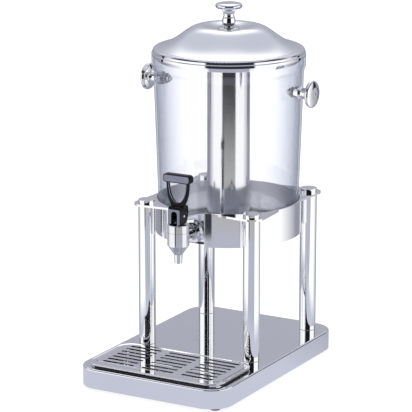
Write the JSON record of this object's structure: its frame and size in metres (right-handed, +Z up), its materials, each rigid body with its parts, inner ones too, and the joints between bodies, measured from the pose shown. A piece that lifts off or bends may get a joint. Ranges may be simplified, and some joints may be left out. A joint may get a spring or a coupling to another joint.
{
  "type": "beverage dispenser",
  "caption": "Clear countertop drink dispenser with a lid, ice tube and lever tap, carried by a ring on posts over a base with a slotted drip tray.",
  "frame": {"origin": "centre of the base, on the surface that the feet stand on", "axes": "+Z up; the tap and drip tray are on the -Y side; +X to the right seen from the tap side"},
  "size_m": [0.2868, 0.367, 0.5452],
  "materials": {
    "mirror_steel": "mirror polished stainless steel",
    "satin_steel": "satin stainless steel spun in rings",
    "plated_brass": "bright plated casting",
    "clear_polycarbonate": "clear, glossy",
    "black_plastic": "black, semi gloss",
    "black_rubber": "matte",
    "pale_silicone": "matte",
    "plain_steel": "plain rolled",
    "spring_steel": "drawn wire"
  },
  "bodies": {
    "stand": {"base_cover": "mirror_steel", "base_floor_plate": "plain_steel", "base_spacers": "plain_steel", "post_bolts": "plain_steel", "rubber_feet": "black_rubber", "foot_screws": "plain_steel", "post_front_left": "mirror_steel", "post_front_right": "mirror_steel", "post_rear_left": "mirror_steel", "post_rear_right": "mirror_steel", "lower_post_inserts": "plain_steel", "upper_post_inserts": "plain_steel", "corner_plate_front_left": "mirror_steel", "corner_plate_front_right": "mirror_steel", "corner_plate_rear_left": "mirror_steel", "corner_plate_rear_right": "mirror_steel", "post_cap_front_left": "mirror_steel", "post_cap_front_right": "mirror_steel", "post_cap_rear_left": "mirror_steel", "post_cap_rear_right": "mirror_steel", "ring_band": "mirror_steel", "ring_ledge": "mirror_steel", "seat_gasket": "black_rubber"},
    "drip_tray": {"drip_tray": "mirror_steel"},
    "drip_grille": {"drip_grille": "mirror_steel"},
    "container": {"container": "clear_polycarbonate", "side_knob_left": "mirror_steel", "side_knob_right": "mirror_steel", "side_knob_washers": "pale_silicone", "side_knob_nuts": "plain_steel", "tap_body": "plated_brass", "tap_bonnet": "plated_brass", "tap_flange": "plated_brass", "tap_outer_seal": "pale_silicone", "tap_inner_seal": "pale_silicone", "tap_lock_nut": "plated_brass", "tap_spring": "spring_steel"},
    "ice_tube": {"ice_tube": "mirror_steel", "tube_foot": "black_rubber"},
    "lid": {"lid": "satin_steel", "lid_skirt": "satin_steel", "lid_knob": "mirror_steel", "lid_knob_plate": "mirror_steel", "lid_knob_washer": "pale_silicone", "lid_knob_nut": "plain_steel"},
    "tap_plunger": {"tap_stem": "plated_brass", "seat_plug": "pale_silicone", "lever_pin": "plated_brass"},
    "tap_lever": {"tap_lever": "black_plastic"}
  },
  "joints": [
    {"name": "tray_lift", "type": "slide", "parent": "stand", "child": "drip_tray", "axis": [0, 0, 1], "range_m": [0, 0.05]},
    {"name": "grille_lift", "type": "slide", "parent": "drip_tray", "child": "drip_grille", "axis": [0, 0, 1], "range_m": [0, 0.03]},
    {"name": "container_lift", "type": "slide", "parent": "stand", "child": "container", "axis": [0, 0, 1], "range_m": [0, 0.1]},
    {"name": "tube_lift", "type": "slide", "parent": "container", "child": "ice_tube", "axis": [0, 0, 1], "range_m": [0, 0.27]},
    {"name": "lid_lift", "type": "slide", "parent": "ice_tube", "child": "lid", "axis": [0, 0, 1], "range_m": [0, 0.08]},
    {"name": "plunger_lift", "type": "slide", "parent": "container", "child": "tap_plunger", "axis": [0, 0, 1], "range_m": [0, 0.0053], "deforming": ["tap_spring"]},
    {"name": "lever_tilt", "type": "hinge", "parent": "tap_plunger", "child": "tap_lever", "pos_m": [0, -0.09, 0.2558], "axis": [1, 0, 0], "range_deg": [0, 30], "stiffness_Nm_per_rad": 0.4}
  ],
  "couplings": [
    {"joint": "plunger_lift", "follows": "lever_tilt", "m_per_rad": 0.01}
  ]
}
